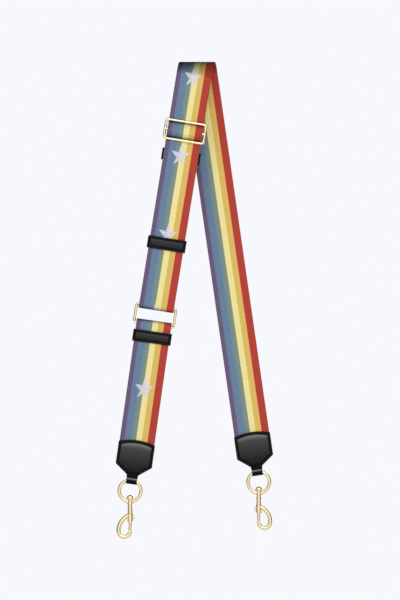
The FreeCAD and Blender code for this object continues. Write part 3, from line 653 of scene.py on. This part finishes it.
def woven_strip(name, surface, begin, end, straight=None, ripple=None, painted_shades=()):
    """A closed strip of ribbed webbing. Distances from begin to end go down its face.

    straight(distance) tells where the pattern stays put while the slider moves.
    A place of painted shade is (distance, half length, strength): the strip is drawn darker there.
    """
    sizes = sizes_now()
    step = sizes.rib_pitch / 4
    first = math.floor(begin / step) + 1
    last = math.ceil(end / step)
    stations = [begin] + [step * i for i in range(first, last)] + [end]
    half_width = sizes.webbing_width / 2
    half_ply = sizes.webbing_thickness / 2
    flat_half = half_width - STRIP_CORNER
    shares = [2 * i / STRIP_COLUMNS - 1 for i in range(STRIP_COLUMNS + 1)]
    face_side = [(flat_half * share, 1.0) for share in shares]
    selvedge = [(half_width - STRIP_CORNER * 0.1, 0.72), (half_width, 0.25)]
    right = selvedge + [(x, -out) for x, out in reversed(selvedge)]
    left = [(-x, out) for x, out in reversed(right)]
    ring = face_side + right + [(x, -out) for x, out in reversed(face_side)] + left
    count = len(ring)
    points = []
    marks = {mark: [] for mark in MARKS}
    for distance in stations:
        dip = furrow(distance, sizes.rib_pitch)
        # Painted shade: strongest at each listed place, fading to none over its half length.
        dark = [depth * (1 - abs(distance - at) / half) for at, half, depth in painted_shades]
        soil = min(max([0.0] + dark), MOST_SHADE)
        still = float(bool(straight and straight(distance)))
        for x, out in ring:
            narrow = 1 - dip * sizes.rib_depth * SELVEDGE_DIP / half_width * (abs(x) > flat_half)
            outward = out * (half_ply - dip * sizes.rib_depth)
            if ripple:
                outward += ripple(distance, x / half_width)
            points.append(surface(distance, x * narrow, outward))
            for mark, value in zip(marks.values(), (x, distance, still, float(out > 0), soil)):
                mark.append(value)
    faces = []
    for row in range(len(stations) - 1):
        for column in range(count):
            here = row * count + column
            beside = row * count + (column + 1) % count
            faces.append((here, beside, beside + count, here + count))
    faces.append(tuple(range(count - 1, -1, -1)))
    faces.append(tuple(range((len(stations) - 1) * count, len(stations) * count)))
    mesh = bpy.data.meshes.new(name)
    mesh.from_pydata(points, [], faces)
    for attribute, values in marks.items():
        mesh.attributes.new(attribute, "FLOAT", "POINT").data.foreach_set("value", values)
    outward_faces(mesh)
    piece = new_piece(name, mesh, "striped_webbing")
    mesh.set_sharp_from_angle(angle=math.radians(60))
    return piece


def outward_faces(mesh):
    """Turns every face of a closed mesh outwards."""
    work = bmesh.new()
    work.from_mesh(mesh)
    bmesh.ops.recalc_face_normals(work, faces=work.faces)
    work.to_mesh(mesh)
    work.free()


# ---- webbing pieces


def ply_depths():
    """How far in front of the rail's axis each ply lies, read from the frame."""
    sizes = sizes_now()
    half_ply = sizes.webbing_thickness / 2
    front = -(sizes.rail_radius + half_ply)
    ring_depth = middle_depth("rectangle_ring")
    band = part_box("slider_cover")
    wall = (band[1].y - band[0].y - 2 * sizes.webbing_thickness) / 2
    back = band[1].y - wall - half_ply
    return front, ring_depth + sizes.fold_radius, back


def middle_depth(node):
    """How far behind the rail's axis the middle of a frame node lies."""
    low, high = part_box(node)
    return (low.y + high.y) / 2


# The slider and the ring: their wire, and how far their outer bars lie from the middle.
WIRE_RADIUS = 1.5 * MM
BAR_OFFSET = 10.2 * MM
BAR_GAP = 0.1 * MM

# Where one strip takes over from the next, and how far a strip runs into a tab.
HIDDEN_SEAM = -BAR_OFFSET
TOP_SEAM = 4.0 * MM
TUCK = 18.0 * MM

# Ends of stretches, short of the bends beside them; the points worked out from them are not used.
TOP_REST = 0.5 * MM
ARCH_REST = 1.4 * MM
BAND_REST = 0.6 * MM
FOLD_REST = 1.5 * MM

# The doubled run closes up to its two plies over the taper.
FOLD_TAPER = 8.0 * MM
SEAM_BAND_FOOT = -33.45 * MM
PINCH_FOOT = -29.25 * MM
PINCH_TOP = -16.35 * MM
PINCH_GAP = 0.05 * MM
LOWER_STAR = 80.6 * MM

# Painted shade on the cloth: (half length, strength) under the slider's bars and inside a fold.
BAR_SHADE = (3.5 * MM, 0.85)
FOLD_SHADE = (5.5 * MM, 1.3)
BAR_SHADE_INSET = 3.2 * MM

# The right leg's slight waves: their length, height, twist and crosswise curl.
WAVE_LENGTH = 0.171
WAVE_HEIGHT = 0.55
WAVE_TWIST = 0.9
WAVE_CURL = 0.5


def distance_of(place, point):
    """How far down a place's webbing a point lies, from the place's origin."""
    return (place.origin - point).dot(place.up)


class STRAP_OT_rear_leg(bpy.types.Operator):
    """Weaves the right leg and the fold over the rail"""

    bl_idname = "strap.rear_leg"
    bl_label = "Right Leg and Top Fold"

    def execute(self, context):
        sizes = context.scene.strap_sizes
        line = OverRail(sizes.rail_radius + sizes.webbing_thickness / 2)
        loop = joint("right_eye_hinge")["pos_m"]
        right_length = -loop[2] / math.cos(RIGHT_LOOP.lean)
        foot = -(line.fold_length + right_length - TUCK)

        def ripple(distance, share):
            """The leg hangs a little less than flat between the rail and its end."""
            below = -distance - line.fold_length
            if below <= 0 or distance <= foot:
                return 0.0
            eased = math.sin(math.pi * below / (-foot - line.fold_length)) ** 2
            wave = math.sin(FULL_TURN * below / WAVE_LENGTH + WAVE_TWIST * share) * WAVE_HEIGHT
            return eased * (wave + WAVE_CURL * share * share - WAVE_CURL / 2) * MM

        piece = woven_strip("right_leg_webbing", line.surface, foot, TOP_SEAM, ripple=ripple)
        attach(piece, "strap")
        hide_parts("webbing_main")
        TOP_SEAM - foot
        return {"FINISHED"}


class STRAP_OT_front_run(bpy.types.Operator):
    """Weaves the left leg from the fold down and over the slider's centre bar"""

    bl_idname = "strap.front_run"
    bl_label = "Front Run and Slider Arch"

    def execute(self, context):
        sizes = context.scene.strap_sizes
        front, _, _ = ply_depths()
        foot = BAR_OFFSET - sizes.webbing_thickness
        low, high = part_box("webbing_slider_arch")
        crest = low.y + sizes.webbing_thickness / 2
        crest_half = WIRE_RADIUS + BAR_GAP + sizes.webbing_thickness
        points = [
            (front, SLIDER_DROP - TOP_SEAM),
            (front, foot),
            (crest, crest_half),
            (crest, -crest_half),
            (front, -foot),
            (front, HIDDEN_SEAM),
        ]
        route = Route(points, [sizes.bend_radius] * 4)
        surface = route_surface(SLIDER, route, TOP_SEAM)
        end = TOP_SEAM + route.length
        # Painted shade darkens the cloth where it runs under the slider's bars.
        half_arch = BAR_OFFSET - foot + math.hypot(front - crest, foot - crest_half) + crest_half
        middle = end - half_arch
        under = half_arch - BAR_SHADE_INSET
        painted_shades = [(middle + side * under, *BAR_SHADE) for side in (-1, 1)]
        piece = woven_strip(
            "front_webbing", surface, TOP_SEAM, end, lambda distance: True, painted_shades=painted_shades
        )
        SLIDER.at(0, front, SLIDER_DROP - TOP_SEAM - TOP_REST)
        SLIDER.at(0, front, BAR_OFFSET + ARCH_REST)
        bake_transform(piece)
        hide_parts("webbing_front", "webbing_slider_arch")
        return {"FINISHED"}


class STRAP_OT_adjusting_run(bpy.types.Operator):
    """Weaves the doubled run from the slider round the ring and back to the centre bar"""

    bl_idname = "strap.adjusting_run"
    bl_label = "Adjusting Run and Sewn End"

    def execute(self, context):
        sizes = context.scene.strap_sizes
        half_ply = sizes.webbing_thickness / 2
        front, fold_back, back = ply_depths()
        ring_drop = distance_of(SLIDER, middle_of("rectangle_ring"))
        turn = -(ring_drop - BAR_OFFSET + sizes.fold_radius)
        taper = -(ring_drop - BAR_OFFSET - sizes.webbing_thickness)

        # The sewn end runs up behind the slider, round the centre bar and down again.
        bar = Vector((middle_depth("slider_bar"), 0.0))
        double = Vector((back - half_ply, -(BAR_OFFSET - WIRE_RADIUS)))
        to_bar = (bar - double).normalized()
        aside = Vector((to_bar.y, -to_bar.x))
        wrap = WIRE_RADIUS + BAR_GAP + half_ply
        lean_in = math.asin((wrap - half_ply) / (bar - double).length)
        spread = wrap / math.cos(lean_in) + wrap * math.tan(lean_in)
        beyond = bar + to_bar * wrap
        kink = half_ply * math.tan(Vector((0, 1)).angle(to_bar) / 2)
        points = [
            (front, HIDDEN_SEAM),
            (front, turn),
            (fold_back, turn),
            (fold_back, taper),
            (back, taper + FOLD_TAPER),
            (back, double.y + kink),
            beyond + aside * spread,
            beyond - aside * spread,
            (back - 2 * half_ply, double.y - kink),
            (back - 2 * half_ply, SEAM_BAND_FOOT),
        ]
        fold = sizes.fold_radius
        bend = sizes.bend_radius
        radii = [fold, fold, bend, bend, bend + half_ply, wrap, wrap, bend - half_ply]
        route = Route(points, radii)
        begin = SLIDER_DROP - HIDDEN_SEAM
        ring_level = begin + HIDDEN_SEAM - turn - fold
        surface = route_surface(SLIDER, route, begin)
        piece = woven_strip(
            "adjusting_webbing",
            surface,
            begin,
            begin + route.length,
            lambda distance: distance < ring_level,
            # Painted shade inside the fold round the ring.
            painted_shades=[(ring_level + fold * math.pi / 2, *FOLD_SHADE)],
        )
        SLIDER.at(0, front, SEAM_BAND_FOOT - BAND_REST)
        SLIDER.at(0, front, taper + FOLD_TAPER + FOLD_REST)
        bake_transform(piece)
        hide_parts("webbing_loop", "webbing_sewn_end")
        return {"FINISHED"}


class STRAP_OT_lower_run(bpy.types.Operator):
    """Weaves the short strap below the rectangular ring"""

    bl_idname = "strap.lower_run"
    bl_label = "Lower Strap"

    def execute(self, context):
        sizes = context.scene.strap_sizes
        front, fold_back, _ = ply_depths()
        turn = -(BAR_OFFSET - sizes.fold_radius)
        pinched = front + sizes.webbing_thickness + PINCH_GAP
        foot = distance_of(LOWER, LEFT_LOOP.origin) - TUCK
        points = [
            (pinched, PINCH_FOOT),
            (pinched, PINCH_TOP),
            (fold_back, -(BAR_OFFSET + sizes.webbing_thickness)),
            (fold_back, turn),
            (front, turn),
            (front, -foot),
        ]
        fold = sizes.fold_radius
        bend = sizes.bend_radius
        route = Route(points, [bend, bend, fold, fold])
        end = foot - LOWER_STAR + sizes.star_start + sizes.star_pitch
        begin = end - route.length
        surface = route_surface(LOWER, route, begin)
        top = end - foot + BAR_OFFSET - fold * math.pi / 2
        # The fold over the ring's top carries painted shade.
        piece = woven_strip("lower_webbing", surface, begin, end, painted_shades=[(top, *FOLD_SHADE)])
        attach(piece, "lower_strap")
        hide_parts("webbing_lower")
        return {"FINISHED"}


# ---- leather pieces


def eased(share):
    """0 before 0, 1 after 1, and smooth between."""
    share = min(max(share, 0.0), 1.0)
    return share * share * (3 - 2 * share)


def crowned(depth, reach):
    """A rounded rise that levels off at a reach."""
    share = min(max(depth / reach, 0.0), 1.0)
    return 1 - (1 - share) ** 2


def box_of(points):
    """The lowest and the highest corner of a set of points."""
    low = Vector([min(p[axis] for p in points) for axis in range(3)])
    high = Vector([max(p[axis] for p in points) for axis in range(3)])
    return low, high


def softened(node, name, place, rounds, profile):
    """A frame node's leather with its edges softened and then shaped.

    profile(point, low, high) gives how far a point moves from front to back, and its painted
    sheen as a raised panel: 0 on a border, 1 on a panel, more towards its top and a painted
    highlight on its upper edge.
    """
    mesh = frame["nodes"][node].data.copy()
    mesh.materials.clear()
    mesh.transform(place.matrix().inverted())
    work = bmesh.new()
    work.from_mesh(mesh)
    bmesh.ops.remove_doubles(work, verts=work.verts, dist=0.001 * MM)
    work.to_mesh(mesh)
    work.free()
    draft = placed(name + "_draft", mesh)
    detail = draft.modifiers.new("detail", "REMESH")
    detail.mode = "VOXEL"
    detail.voxel_size = sizes_now().leather_voxel
    edges = draft.modifiers.new("edges", "SMOOTH")
    edges.factor = 0.5
    edges.iterations = rounds
    depsgraph = bpy.context.evaluated_depsgraph_get()
    shaped = bpy.data.meshes.new_from_object(draft.evaluated_get(depsgraph))
    bpy.data.objects.remove(draft)
    points = [vertex.co.copy() for vertex in shaped.vertices]
    low, high = box_of(points)
    panel = shaped.attributes.new("panel", "FLOAT", "POINT")
    for vertex, point, value in zip(shaped.vertices, points, panel.data):
        shift, value.value = profile(point, low, high)
        vertex.co.y += shift
    shaped.transform(place.matrix())
    shaped.materials.clear()
    shaped.name = name
    piece = new_piece(name, shaped, "polished_leather")
    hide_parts(node)
    return piece


# A stitch's sections: share of its length, girth and lift, both in thread radii.
STITCH_BEADS = (
    (0.0, 0.45, -0.9),
    (0.16, 0.95, -0.2),
    (0.5, 1.0, 0.1),
    (0.84, 0.95, -0.2),
    (1.0, 0.45, -0.9),
)
STITCH_SIDES = 8
STITCH_INSET = 0.12


def stitch(work, place, start, end, depth, outward):
    """One stitch between two (x, z) points: a short bead that dips in at both ends."""
    radius = sizes_now().thread_radius
    along = (end - start).normalized()
    aside = Vector((-along.y, along.x))
    rings = []
    for share, girth, lift in STITCH_BEADS:
        middle = start.lerp(end, share)
        ring = []
        for index in range(STITCH_SIDES):
            turn = FULL_TURN * index / STITCH_SIDES
            spot = middle + aside * (radius * girth * math.cos(turn))
            rise = radius * (lift + girth * math.sin(turn)) * outward
            ring.append(work.verts.new(place.at(spot.x, depth + rise, spot.y)))
        rings.append(ring)
    for first, second in zip(rings, rings[1:]):
        for index in range(STITCH_SIDES):
            after = (index + 1) % STITCH_SIDES
            work.faces.new((first[index], first[after], second[after], second[index]))
    work.faces.new(rings[0][::-1])
    work.faces.new(rings[-1])


def stitched(name, place, rows, body):
    """Rows of stitches as one piece. A row is its (x, z) corners, its depth and its side."""
    sizes = sizes_now()
    work = bmesh.new()
    for corners, depth, outward in rows:
        for start, end in zip(corners, corners[1:]):
            run = end - start
            count = max(1, round(run.length / (sizes.stitch_length + sizes.stitch_gap)))
            for index in range(count):
                near = start + run * ((index + STITCH_INSET) / count)
                far = start + run * ((index + 1 - STITCH_INSET) / count)
                stitch(work, place, near, far, depth, outward)
    mesh = bpy.data.meshes.new(name)
    bmesh.ops.recalc_face_normals(work, faces=work.faces)
    work.to_mesh(mesh)
    work.free()
    piece = new_piece(name, mesh, "sewing_thread")
    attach(piece, body)
    return piece


PANEL_BLUR = 1.2 * MM
BAND_SKIN = 0.35 * MM
BAND_BORDER = 2.5 * MM
BAND_STEP = 0.42 * MM
BAND_CROWN = 0.3 * MM
BAND_STITCH_INSET = 1.25 * MM
BAND_STITCH_END = 1.9 * MM


def band_profile(point, low, high):
    """A raised panel on the front of a band, with a plain border round it."""
    if point.y > low.y + BAND_SKIN:
        return 0.0, 0.0
    edge = min(point.z - low.z, high.z - point.z, point.x - low.x, high.x - point.x)
    inside = edge - BAND_BORDER
    if inside <= 0:
        return 0.0, 0.0
    rise = BAND_STEP * eased(inside / (0.9 * MM)) + BAND_CROWN * crowned(inside, 3.4 * MM)
    # The panel's painted sheen grows towards the band's top edge.
    height = (point.z - low.z) / (high.z - low.z)
    return -rise, eased(inside / PANEL_BLUR) * (0.15 + 0.45 * height)


def seam_band(node, place, body):
    """One leather band with its panel and two rows of stitches on each side."""
    piece = softened(node, node + "_leather", place, 4, band_profile)
    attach(piece, body)
    inverse = place.matrix().inverted()
    low, high = box_of([inverse @ vertex.co for vertex in piece.data.vertices])
    reach = high.x - BAND_STITCH_END
    # The panel stands proud of the border that the front rows are sewn on.
    front, back = (corner.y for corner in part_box(node))
    rows = []
    for level in (low.z + BAND_STITCH_INSET, high.z - BAND_STITCH_INSET):
        ends = [Vector((-reach, level)), Vector((reach, level))]
        rows += [(ends, front, -1), (ends, back, 1)]
    stitched(node + "_stitching", place, rows, body)


class STRAP_OT_bands(bpy.types.Operator):
    """Makes the two sewn leather bands and the sliding keeper"""

    bl_idname = "strap.bands"
    bl_label = "Leather Bands and Keeper"

    def execute(self, context):
        seam_band("slider_cover", SLIDER, "slider")
        seam_band("keeper", SLIDER, "keeper")
        seam_band("ring_cover", LOWER, "lower_strap")
        return {"FINISHED"}


# A tab's outline, with z from the middle of the eye's wire, and its raised panels.
TAB_HALF_WIDTH = 19.7 * MM
TAB_SHOULDER = 15.9 * MM
TAB_TOP = 40.3 * MM
TAB_ARCH = 3.1 * MM
TAB_FOOT = 5.7 * MM
NECK_HALF = 6.2 * MM
TAB_HALF_THICKNESS = 2.2 * MM
PANEL_INSET = 2.8 * MM
PANEL_RISE = 0.85 * MM
PANEL_CROWN = 9.0 * MM
# Width of the painted highlight along a panel's upper edge.
PANEL_EDGE = 6.0 * MM
TAB_STITCH_INSET = 1.4 * MM
TAB_STITCH_START = 2.0 * MM
ARCH_STEPS = 6

# A painted highlight lies on the loop only where it starts to bend over the eye.
LOOP_HIGHLIGHT_HEIGHT = 1.3 * MM
LOOP_HIGHLIGHT_SPAN = 1.5 * MM
LOOP_HIGHLIGHT_STRENGTH = 1.6


def arch_over(x, half):
    """How far a tab's arched top rises over its corners."""
    return TAB_ARCH * (1 - (x / half) ** 2)


def inside_tab(x, z, inset):
    """How far a point is inside a tab's outline that is drawn in by an inset."""
    x = abs(x)
    half = TAB_HALF_WIDTH - inset
    top = TAB_TOP - inset + arch_over(x, half)
    foot = Vector((NECK_HALF - inset / 2, TAB_FOOT + inset))
    shoulder = Vector((half, TAB_SHOULDER + inset / 2))
    slope = (shoulder - foot).normalized()
    offset = Vector((x, z)) - foot
    return min(half - x, top - z, slope.cross(offset), z - foot.y)


def tab_profile(point, low, high):
    """Swells the tab's raised panels to a soft crown on both faces and gives their painted sheen,
    with painted highlights on their upper edge and on the loop.
    """
    if point.z < TAB_FOOT:
        # Below the panel, only the loop's painted highlight.
        return 0.0, LOOP_HIGHLIGHT_STRENGTH * eased(1 - abs(point.z - LOOP_HIGHLIGHT_HEIGHT) / LOOP_HIGHLIGHT_SPAN)
    inside = inside_tab(point.x, point.z, PANEL_INSET)
    if inside <= 0:
        return 0.0, 0.0
    rise = PANEL_RISE * crowned(inside, PANEL_CROWN)
    # Painted sheen, brighter towards the top of the tab.
    height = (point.z - TAB_FOOT) / (TAB_TOP - TAB_FOOT)
    edge = TAB_TOP + arch_over(point.x, TAB_HALF_WIDTH) - PANEL_INSET - point.z
    # A painted highlight along the panel's upper edge, added to the painted sheen.
    painted_shine = 0.1 + 0.9 * height ** 1.5 + 0.7 * eased(1 - edge / PANEL_EDGE)
    return math.copysign(rise, point.y), eased(inside / PANEL_BLUR) * painted_shine


def tab_border(inset):
    """Corners of the stitch line round a tab, from one side of the neck to the other."""
    half = TAB_HALF_WIDTH - inset
    slope = Vector((TAB_HALF_WIDTH - NECK_HALF, TAB_SHOULDER - TAB_FOOT)).normalized()
    inward = Vector((-slope.y, slope.x))
    start = Vector((NECK_HALF, TAB_FOOT)) + inward * inset + slope * TAB_STITCH_START
    shoulder = start + slope * ((half - start.x) / slope.x)
    right = [start, shoulder, Vector((half, TAB_TOP - inset))]
    arch = []
    for index in range(1, 2 * ARCH_STEPS):
        x = half * (1 - index / ARCH_STEPS)
        arch.append(Vector((x, TAB_TOP - inset + arch_over(x, half))))
    left = [Vector((-corner.x, corner.y)) for corner in reversed(right)]
    return right + arch + left


class STRAP_OT_tabs(bpy.types.Operator):
    """Makes the leather end tabs with their swollen panels and border stitching"""

    bl_idname = "strap.tabs"
    bl_label = "Leather End Tabs"

    def execute(self, context):
        for side, place, body in (
            ("left", LEFT_LOOP, "lower_strap"),
            ("right", RIGHT_LOOP, "strap"),
        ):
            piece = softened(side + "_tab_leather", side + "_tab", place, 5, tab_profile)
            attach(piece, body)
            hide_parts(side + "_front_pad", side + "_back_pad")
            outline = tab_border(TAB_STITCH_INSET)
            rows = [(outline, out * TAB_HALF_THICKNESS, out) for out in (-1, 1)]
            stitched(side + "_tab_stitching", place, rows, body)
        return {"FINISHED"}


# ---- metal


class STRAP_OT_metal(bpy.types.Operator):
    """Polishes the slider, the ring and the swivel snaps"""

    bl_idname = "strap.metal"
    bl_label = "Brass Fittings"

    def execute(self, context):
        brass = ["slider_frame", "slider_bar", "rectangle_ring"]
        steel = []
        for side in ("left", "right"):
            for part in ("swivel_eye", "swivel_rivet", "hook", "bolt", "thumb_knob"):
                brass.append(f"{side}_{part}")
            steel.append(side + "_spring")
        for names, finish in ((brass, "polished_brass"), (steel, "drawn_steel")):
            for name in names:
                slots = frame["nodes"][name].data.materials
                slots.clear()
                slots.append(material(finish))
        return {"FINISHED"}


# ---- stage


def softbox(name, place, target, width, height, power):
    """A large soft lamp that faces a point."""
    lamp = bpy.data.lights.new(name, "AREA")
    lamp.shape = "RECTANGLE"
    lamp.size = width
    lamp.size_y = height
    lamp.energy = power
    holder = placed(name, lamp)
    holder.location = place
    holder.rotation_mode = "QUATERNION"
    holder.rotation_quaternion = (target - place).to_track_quat("-Z", "Y")
    holder.visible_camera = False


# The lightest direction, and the room's level there as slope * c + curve * c * c + least.
ROOM_AXIS = (0.0, -0.94, 0.34)
ROOM_LEVELS = (0.55, 1.0, 0.16)

FLOOR_DROP = 0.4
FLOOR_HALF = 5.0
FLOOR_GLOW = 0.18

# Each lamp: its place from the strap's middle, its width and height, and its power.
LAMPS = {
    "key_lamp": ((0.3, -1.45, 0.7), 1.0, 0.8, 5.5),
    "rear_lamp": ((0.1, 1.7, 0.1), 1.2, 1.0, 14.0),
}

# The camera is level, and sees this height at the depth of the front ply.
VIEW_HEIGHT = 0.646
VIEW_MIDDLE = (2.9 * MM, -11.5 * MM, -243.1 * MM)
LENS = 350.0
SENSOR = 36.0


def studio_world(pale):
    """Pale surroundings whose light is brightest in front and dim at the sides."""
    room = Finish("pale_studio", "worlds")
    facing = room.along(ROOM_AXIS, room.add("ShaderNodeTexCoord", output="Generated"))
    slope, curve, least = ROOM_LEVELS
    level = (facing * curve + slope) * facing + least
    lit = room.add("ShaderNodeBackground", inputs={"Strength": level})
    seen = room.add("ShaderNodeBackground", inputs={"Color": pale})
    straight_ray = room.add("ShaderNodeLightPath", output="Is Camera Ray")
    both = room.add("ShaderNodeMixShader", inputs={0: straight_ray, 1: lit, 2: seen})
    room.add("ShaderNodeOutputWorld", inputs={"Surface": both})
    return room.block


class STRAP_OT_stage(bpy.types.Operator):
    """Sets the floor, the pale surroundings, the soft lamps and the camera"""

    bl_idname = "strap.stage"
    bl_label = "Stage, Lamps and Camera"

    def execute(self, context):
        scene = context.scene
        pale = (*colours_now().stage, 1.0)
        scene.view_settings.view_transform = "Standard"
        scene.world = studio_world(pale)

        level = CAD_BOX[0].z - FLOOR_DROP
        corners = [(-1, -1), (1, -1), (1, 1), (-1, 1)]
        points = [(x * FLOOR_HALF, y * FLOOR_HALF, level) for x, y in corners]
        mesh = bpy.data.meshes.new("floor")
        mesh.from_pydata(points, [], [(0, 1, 2, 3)])
        floor = placed("floor", mesh)
        finish = Finish("pale_floor")
        mesh.materials.append(
            finish.surface(
                Base_Color=pale,
                Roughness=0.9,
                Emission_Color=pale,
                Emission_Strength=FLOOR_GLOW,
            )
        )

        middle = (CAD_BOX[0] + CAD_BOX[1]) / 2
        for name, (offset, width, height, power) in LAMPS.items():
            softbox(name, middle + Vector(offset), middle, width, height, power)

        camera = bpy.data.cameras.new("camera")
        camera.lens = LENS
        camera.sensor_width = SENSOR
        holder = placed("camera", camera)
        distance = VIEW_HEIGHT * LENS / SENSOR
        holder.location = Vector(VIEW_MIDDLE) - Vector((0.0, distance, 0.0))
        holder.rotation_euler = (math.pi / 2, 0.0, 0.0)
        scene.camera = holder
        return {"FINISHED"}


# ---- panel and running


class STRAP_PT_maker(bpy.types.Panel):
    """Lists the strap's settings and its pieces"""

    bl_idname = "STRAP_PT_maker"
    bl_label = "Shoulder Strap"
    bl_space_type = "VIEW_3D"
    bl_region_type = "UI"
    bl_category = "Strap"

    def draw(self, context):
        for group in (context.scene.strap_sizes, context.scene.strap_colours):
            column = self.layout.column(align=True)
            for name in group.bl_rna.properties.keys():
                if name not in ("rna_type", "name"):
                    column.prop(group, name)
        for step in STEPS:
            self.layout.operator(step.bl_idname)


STEPS = (
    STRAP_OT_stage,
    STRAP_OT_rear_leg,
    STRAP_OT_front_run,
    STRAP_OT_adjusting_run,
    STRAP_OT_lower_run,
    STRAP_OT_bands,
    STRAP_OT_tabs,
    STRAP_OT_metal,
)
GROUPS = (StrapSizes, StrapColours)


def register():
    """Registers the classes and hangs the settings on the scene."""
    for kind in (*GROUPS, *STEPS, STRAP_PT_maker):
        bpy.utils.register_class(kind)
    bpy.types.Scene.strap_sizes = bpy.props.PointerProperty(type=StrapSizes)
    bpy.types.Scene.strap_colours = bpy.props.PointerProperty(type=StrapColours)


def unregister():
    """Takes the settings and the classes away again."""
    del bpy.types.Scene.strap_colours
    del bpy.types.Scene.strap_sizes
    for kind in reversed((*GROUPS, *STEPS, STRAP_PT_maker)):
        bpy.utils.unregister_class(kind)


def main():
    """Registers the classes and makes every piece."""
    register()
    bpy.ops.strap.stage()
    bpy.ops.strap.rear_leg()
    bpy.ops.strap.front_run()
    bpy.ops.strap.adjusting_run()
    bpy.ops.strap.lower_run()
    bpy.ops.strap.bands()
    bpy.ops.strap.tabs()
    bpy.ops.strap.metal()


if __name__ == "__main__":
    main()
